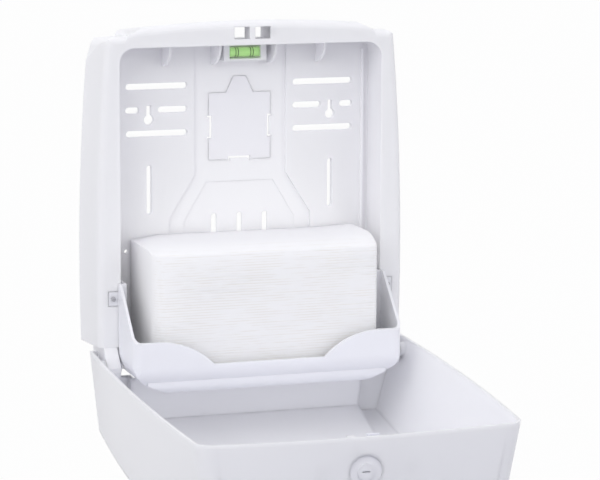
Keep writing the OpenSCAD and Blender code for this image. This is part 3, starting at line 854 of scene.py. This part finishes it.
def dress(nodes: Iterable[str], finish: Finish) -> None:
    """Gives CAD nodes a finish.

    Args:
        nodes: Names of the nodes.
        finish: The finish of all of them.
    """
    material = material_of(finish)
    for name in nodes:
        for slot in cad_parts[name].material_slots:
            slot.material = material
        LOG.info("dressed %s in %s", name, material.name)


def add_object(name: str, data: bpy.types.ID) -> bpy.types.Object:
    """Adds an object to the scene.

    Args:
        name: The object's name.
        data: Its mesh, lamp or camera.

    Returns:
        The new object.
    """
    added = bpy.data.objects.new(name, data)
    bpy.context.scene.collection.objects.link(added)
    return added


def add_mesh(name: str, mesh: bmesh.types.BMesh, finish: Finish) -> bpy.types.Object:
    """Adds a bmesh to the scene.

    Args:
        name: The object's name.
        mesh: Its geometry, which is freed.
        finish: Its finish.

    Returns:
        The new object.
    """
    data = bpy.data.meshes.new(name)
    mesh.to_mesh(data)
    mesh.free()
    data.materials.append(material_of(finish))
    return add_object(name, data)


def new_piece(
    name: str, mesh: bmesh.types.BMesh, finish: Finish, body: Body
) -> bpy.types.Object:
    """Turns a bmesh into a smooth-shaded piece with flat ends that rides on a body.

    Args:
        name: The piece's name.
        mesh: Its geometry, which is freed.
        finish: Its finish.
        body: The body it rides on.

    Returns:
        The new piece.
    """
    bmesh.ops.recalc_face_normals(mesh, faces=mesh.faces[:])
    piece = add_mesh(name, mesh, finish)
    for polygon in piece.data.polygons:
        polygon.use_smooth = len(polygon.vertices) == SKIN_CORNERS
    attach(piece, body.value)
    LOG.info("built %s with %d faces", name, len(piece.data.polygons))
    return piece


def skin_rings(mesh: bmesh.types.BMesh, rings: Sequence[Sequence[Vector]], ends: Ends) -> None:
    """Joins rings of points into a skin.

    Args:
        mesh: The bmesh to add to.
        rings: Rings with the same number of points, in order.
        ends: What becomes of the first and the last ring.
    """
    made = [[mesh.verts.new(point) for point in ring] for ring in rings]
    pairs = list(zip(made, made[1:]))
    if ends is Ends.JOINED:
        pairs.append((made[-1], made[0]))
    count = len(made[0])
    for here, there in pairs:
        for k in range(count):
            after = (k + 1) % count
            mesh.faces.new((here[k], here[after], there[after], there[k]))
    if ends is Ends.CAPPED:
        mesh.faces.new(made[0])
        mesh.faces.new(made[-1])


@dataclass
class Housing:
    """The back housing with its hatch plate."""

    shell: Finish = HOUSING_WHITE
    plate: Finish = HATCH_WHITE

    def build(self) -> None:
        """Dresses the moulding and the plate."""
        dress(("back_housing",), self.shell)
        dress(("hatch_plate",), self.plate)


@dataclass
class SpiritLevel:
    """The spirit level under the top beam: cradle, tube, liquid, plugs, bubble and marks."""

    mark_inner: float = 5.9 * MM
    mark_outer: float = 8.2 * MM
    mark_width: float = 0.7 * MM
    mark_proud: float = 0.06 * MM
    mark_taper: float = 0.8
    mark_points: int = 48
    bubble_length: float = 10.5 * MM
    bubble_radius: float = 2.0 * MM
    bubble_drop: float = 0.25 * MM
    bubble_blunt: float = 0.5
    bubble_rings: int = 14
    bubble_points: int = 24

    def build(self) -> None:
        """Dresses the CAD nodes and adds the marks and the bubble."""
        dress(("level_holder",), HOUSING_WHITE)
        dress(("level_vial",), VIAL_CLEAR)
        dress(("level_fluid",), FLUID_GREEN)
        dress(("level_plugs",), PLUG_GREEN)
        self._build_marks()
        self._build_bubble()

    def _axis(self, node: str) -> tuple[Vector, float]:
        """Centre and radius of a round node that lies along X.

        Args:
            node: Name of the node.

        Returns:
            Its centre and its radius.
        """
        low, high = (Vector(corner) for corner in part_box(node))
        return (low + high) / 2, (high.z - low.z) / 2

    def _spokes(self, count: int) -> list[tuple[float, float]]:
        """Directions straight out from the tube's axis.

        Args:
            count: Number of directions.

        Returns:
            Parts along Y and Z of each direction, evenly around X.
        """
        turns = [2 * math.pi * k / count for k in range(count)]
        return [(math.cos(turn), math.sin(turn)) for turn in turns]

    def _build_marks(self) -> bpy.types.Object:
        """Builds the four printed rings on the tube.

        Returns:
            The piece.
        """
        centre, tube_radius = self._axis("level_vial")
        outside = tube_radius + self.mark_proud
        inside = tube_radius - self.mark_proud / 2
        half = self.mark_width / 2
        top = half * self.mark_taper
        section = [(-half, inside), (-top, outside), (top, outside), (half, inside)]
        mesh = bmesh.new()
        for x in (-self.mark_outer, -self.mark_inner, self.mark_inner, self.mark_outer):
            rings = []
            for spoke in self._spokes(self.mark_points):
                out = Vector((0, *spoke))
                ring = [centre + Vector((x + way, 0, 0)) + radius * out for way, radius in section]
                rings.append(ring)
            skin_rings(mesh, rings, Ends.JOINED)
        return new_piece("level_marks", mesh, MARK_INK, Body.HOUSING)

    def _build_bubble(self) -> bpy.types.Object:
        """Builds the air bubble at the top of the liquid.

        Returns:
            The piece.
        """
        centre, fluid_radius = self._axis("level_fluid")
        middle = centre + Vector((0, 0, fluid_radius - self.bubble_radius - self.bubble_drop))
        spokes = self._spokes(self.bubble_points)
        rings = []
        for k in range(self.bubble_rings):
            turn = math.pi * (k + 0.5) / self.bubble_rings
            x = -self.bubble_length / 2 * math.cos(turn)
            radius = self.bubble_radius * math.sin(turn) ** self.bubble_blunt
            rings.append([middle + Vector((x, radius * y, radius * z)) for y, z in spokes])
        mesh = bmesh.new()
        skin_rings(mesh, rings, Ends.CAPPED)
        return new_piece("level_bubble", mesh, BUBBLE_CLEAR, Body.HOUSING)


@dataclass
class Tray:
    """The towel tray and its two screws."""

    shell: Finish = TRAY_WHITE
    screws: Finish = SCREW_ZINC

    def build(self) -> None:
        """Dresses the tray and the screws."""
        dress(("towel_tray",), self.shell)
        dress(("tray_screws",), self.screws)


@dataclass
class Cover:
    """The front cover with its hinge pins and washers."""

    shell: Finish = COVER_WHITE
    pins: Finish = PIN_BRIGHT
    washers: Finish = WASHER_NYLON

    def build(self) -> None:
        """Dresses the cover and its hinge."""
        dress(("front_cover",), self.shell)
        dress(("hinge_pins",), self.pins)
        dress(("hinge_washers",), self.washers)


@dataclass
class LockSet:
    """The lock in the cover's top wall, with the latch that it moves."""

    face: Finish = LOCK_WHITE
    works: Finish = LOCK_NICKEL
    screws: Finish = SCREW_ZINC
    latch: Finish = LATCH_WHITE
    spring: Finish = SPRING_BRIGHT

    def build(self) -> None:
        """Dresses the lock, the latch, the bracket and the spring."""
        dress(("lock_sleeve", "lock_plug"), self.face)
        dress(("lock_nut", "lock_cam"), self.works)
        dress(("bracket_screws", "cam_screw"), self.screws)
        dress(("lock_bracket", "latch_slide"), self.latch)
        dress(("latch_spring",), self.spring)


@dataclass(frozen=True)
class Ripple:
    """Smooth noise from -1 to 1 over the layers at the front of the stack."""

    per_metre: float
    per_layer: float
    seed: float

    def at(self, x: float, layer: int) -> float:
        """The noise at one place along the stack, in one layer."""
        return noise.noise(Vector((x * self.per_metre, layer * self.per_layer, self.seed)))


@dataclass
class TowelStack:
    """The stack of folded towels: one soft skin whose front shows the fold of every layer."""

    layers: int = 48
    stations: int = 96
    rear_steps: int = 24
    flats: Sequence[float] = (0.02, 0.06, 0.12, 0.2, 0.3, 0.45, 0.65, 0.85)
    seed: int = 11
    front_play: float = 0.1 * MM
    nose: float = 14 * MM
    left_corner: float = 12 * MM
    right_corner: float = 4 * MM
    # The folds: how deep the gap between two layers is, and where a layer's front is flat.
    fold_depth: float = 0.42 * MM
    fold_share: float = 0.25
    fold_least: float = 0.04
    fold_gap: float = 1.1
    fold_patch: float = 0.9
    crest_start: float = 0.3
    crest_end: float = 0.7
    wobble: Ripple = Ripple(42, 1.7, 3.1)
    gap: Ripple = Ripple(55, 3.3, 9.4)
    patch: Ripple = Ripple(14, 0.11, 1.7)
    # The swell of the top, and how it changes toward the rear and the two ends.
    crown: float = 6.5 * MM
    crown_reach: float = 0.3
    rear_droop: float = 0.2
    rear_reach: float = 0.3
    left_least: float = 0.35
    left_reach: float = 0.12
    right_gain: float = 0.3
    right_reach: float = 0.15
    paper: Colour = (0.962, 0.954, 0.935, 1)
    paper_shade: Colour = (0.948, 0.94, 0.92, 1)
    # Colour of the painted shade lines in the gaps between the folded layers.
    painted_fold_shade: Colour = (0.845, 0.81, 0.75, 1)

    def build(self) -> bpy.types.Object:
        """Builds the stack in place of the plain pack.

        Returns:
            The piece.
        """
        low, high = (Vector(corner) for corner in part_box("towel_pack"))
        draws = random.Random(self.seed)
        shifts = [draws.uniform(0.0, self.front_play) for _ in range(self.layers)]
        rings = []
        for step in range(self.stations + 1):
            across = 0.5 - 0.5 * math.cos(math.pi * step / self.stations)
            rings.append(self._outline(low, high, across, shifts))
        mesh = bmesh.new()
        skin_rings(mesh, rings, Ends.CAPPED)
        paper = CrepedPaper(
            "towel_paper",
            colour=self.paper,
            shade=self.paper_shade,
            fold=self.painted_fold_shade,
            fold_base=low.z,
            fold_pitch=(high.z - low.z) / self.layers,
        )
        piece = new_piece("towel_stack", mesh, paper, Body.TOWELS)
        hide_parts("towel_pack")
        return piece

    def _swell(self, across: float, depth: float) -> float:
        """How far the paper swells up, away from the folded front.

        Args:
            across: Place along the stack, from 0 at the left end to 1 at the right.
            depth: Place from 0 at the front to 1 at the rear.

        Returns:
            The swell of the top layer, in metres.
        """
        rise = min(max(depth, 0.0) / self.crown_reach, 1.0)
        front = 1.0 - (1.0 - rise) ** 2
        rear_way = max(0.0, 1.0 - (1.0 - depth) / self.rear_reach)
        rear = 1.0 - self.rear_droop * rear_way ** 2
        left_way = min(across / self.left_reach, 1.0)
        left = self.left_least + (1.0 - self.left_least) * left_way
        right_way = max(0.0, 1.0 - (1.0 - across) / self.right_reach)
        right = 1.0 + self.right_gain * right_way
        return self.crown * front * rear * left * right

    def _folds(self, x: float, height: float, shifts: Sequence[float]) -> list[tuple[float, float]]:
        """Outline of the folded front at one place along the stack.

        Args:
            x: The place along X.
            height: Height of the stack at its front.
            shifts: How far each layer lies back.

        Returns:
            Depth behind the front and height above the floor of each point, from the floor up.
        """
        pitch = height / self.layers
        points = []
        for layer, shift in enumerate(shifts):
            crest = shift + self.front_play * (0.5 + 0.5 * self.wobble.at(x, layer))
            open_share = self.fold_share + self.fold_gap * self.gap.at(x, layer)
            open_share += self.fold_patch * self.patch.at(x, layer)
            valley = crest + self.fold_depth * min(max(open_share, self.fold_least), 1.0)
            profile = ((0.0, valley), (self.crest_start, crest), (self.crest_end, crest))
            for share, depth in profile:
                rise = (layer + share) * pitch
                below = max(self.nose - rise, 0.0)
                points.append((depth + self.nose - math.sqrt(self.nose ** 2 - below ** 2), rise))
        return points

    def _outline(
        self, low: Vector, high: Vector, across: float, shifts: Sequence[float]
    ) -> list[Vector]:
        """Outline of the stack at one place along it.

        Args:
            low: Lowest corner of the pack.
            high: Highest corner of the pack.
            across: Place along the stack, from 0 at the left end to 1 at the right.
            shifts: How far each layer lies back.

        Returns:
            The outline's points, up the front, over the top, down the rear and along the floor.
        """
        x = low.x + (high.x - low.x) * across
        left = 1.0 - min((x - low.x) / self.left_corner, 1.0)
        right = 1.0 - min((high.x - x) / self.right_corner, 1.0)
        inset = self.left_corner * (1.0 - math.sqrt(1.0 - left ** 2))
        inset += self.right_corner * (1.0 - math.sqrt(1.0 - right ** 2))
        height, span = high.z - low.z, high.y - low.y - inset
        folds = self._folds(x, height, shifts)
        points = [(min(depth / span, 1.0), rise / height) for depth, rise in folds]
        points += [(flat, 1.0) for flat in self.flats]
        points += [(1.0, 1.0 - step / self.rear_steps) for step in range(self.rear_steps + 1)]
        points += [(flat, 0.0) for flat in reversed(self.flats) if flat * span > self.nose]
        outline = []
        for depth, rise in points:
            lift = self._swell(across, depth) * rise
            outline.append(Vector((x, low.y + inset + depth * span, low.z + rise * height + lift)))
        return outline


@dataclass(frozen=True)
class SoftBox:
    """A square soft light: its place, the length of its side and its power in watts."""

    name: str
    place: Triple
    side: float
    power: float


@dataclass
class Studio:
    """Pale floor, soft lights and the camera at the photograph's angle."""

    sky_tint: Colour = (0.952, 0.954, 1.0, 1)
    sky_level: float = 0.91
    lamps: Sequence[SoftBox] = (
        SoftBox("key_box", (-1.4, -1.28, 0.94), 1.4, 10.5),
        SoftBox("fill_box", (1.7, -1.5, 0.2), 1.2, 4.2),
    )
    floor_level: float = -0.42
    floor_half: float = 14.0
    floor_pale: Colour = (0.54, 0.54, 0.55, 1)
    floor_shade: Colour = (0.51, 0.51, 0.52, 1)
    # A painted shadow on the floor in front of the part, which dims the light bounced up onto it.
    painted_shadow_colour: Colour = (0.13, 0.135, 0.22, 1)
    painted_shadow_x: float = 0.05
    painted_shadow_y: float = -0.62
    azimuth: float = 18.123
    elevation: float = 9.761
    roll: float = 0.256
    aim: Triple = (47.76 * MM, -37.5 * MM, -120.8 * MM)
    distance: float = 2.57396
    focal_pixels: float = 2804.45
    image_width: float = 600.0
    sensor: float = 36.0
    view_end: float = 100.0

    def build(self) -> None:
        """Sets the view, the floor, the lights and the camera."""
        scene = bpy.context.scene
        scene.view_settings.view_transform = "Standard"
        self._build_world()
        self._build_floor()
        for box in self.lamps:
            self._build_lamp(box)
        scene.camera = self._build_camera()

    def _build_world(self) -> None:
        """Makes an even pale sky that is white to the camera, in gloss and through clear pieces."""
        world = bpy.data.worlds.new("studio_sky")
        bpy.context.scene.world = world
        nodes = Nodes(world)
        pale = {"Color": self.sky_tint, "Strength": self.sky_level}
        light = nodes.node("ShaderNodeBackground", {}, pale)
        white = nodes.node("ShaderNodeBackground", {}, {"Color": WHITE, "Strength": 1.0})
        sky = nodes.blend(nodes.seen(), light.outputs["Background"], white.outputs["Background"])
        nodes.node("ShaderNodeOutputWorld", {}, {"Surface": sky})

    def _build_floor(self) -> bpy.types.Object:
        """Makes the floor, with a painted shadow in front of the part.

        Returns:
            The floor.
        """
        mesh = bmesh.new()
        half = self.floor_half
        corners = [(-half, -half), (half, -half), (half, half), (-half, half)]
        mesh.faces.new([mesh.verts.new((x, y, self.floor_level)) for x, y in corners])
        paper = FloorPaper(
            "floor_pale",
            colour=self.floor_pale,
            shade=self.floor_shade,
            patch=self.painted_shadow_colour,
            painted_shadow_middle=(self.painted_shadow_x, self.painted_shadow_y, self.floor_level),
        )
        floor = add_mesh("studio_floor", mesh, paper)
        return floor

    def _look(self, place: Vector, ahead: Vector) -> Matrix:
        """Stands a lamp or camera somewhere and turns it upright toward something.

        Args:
            place: Where it stands.
            ahead: The direction that it looks in.

        Returns:
            Its matrix.
        """
        return Matrix.Translation(place) @ ahead.to_track_quat("-Z", "Y").to_matrix().to_4x4()

    def _build_lamp(self, box: SoftBox) -> bpy.types.Object:
        """Adds a soft box that looks at the part.

        Args:
            box: Its place, size and power.

        Returns:
            The lamp.
        """
        data = bpy.data.lights.new(box.name, "AREA")
        data.shape = "SQUARE"
        data.size = box.side
        data.energy = box.power
        lamp = add_object(box.name, data)
        place = Vector(box.place)
        lamp.matrix_world = self._look(place, Vector(self.aim) - place)
        return lamp

    def _build_camera(self) -> bpy.types.Object:
        """Places the camera.

        Returns:
            The camera.
        """
        data = bpy.data.cameras.new("photo_camera")
        data.sensor_fit = "HORIZONTAL"
        data.sensor_width = self.sensor
        data.lens = self.focal_pixels * self.sensor / self.image_width
        data.clip_end = self.view_end
        turn, tilt = math.radians(self.azimuth), math.radians(self.elevation)
        level = math.cos(tilt)
        ahead = Vector((math.sin(turn) * level, math.cos(turn) * level, -math.sin(tilt)))
        roll = Matrix.Rotation(math.radians(self.roll), 4, "Z")
        camera = add_object("photo_camera", data)
        camera.matrix_world = self._look(Vector(self.aim) - self.distance * ahead, ahead) @ roll
        return camera


def main() -> None:
    """Builds the studio and every sub-assembly in order."""
    logging.basicConfig(level=logging.INFO, format="%(message)s")
    parts = (Studio(), Housing(), SpiritLevel(), Tray(), Cover(), LockSet(), TowelStack())
    for part in parts:
        part.build()
        LOG.info("finished %s", type(part).__name__)


if __name__ == "__main__":
    main()
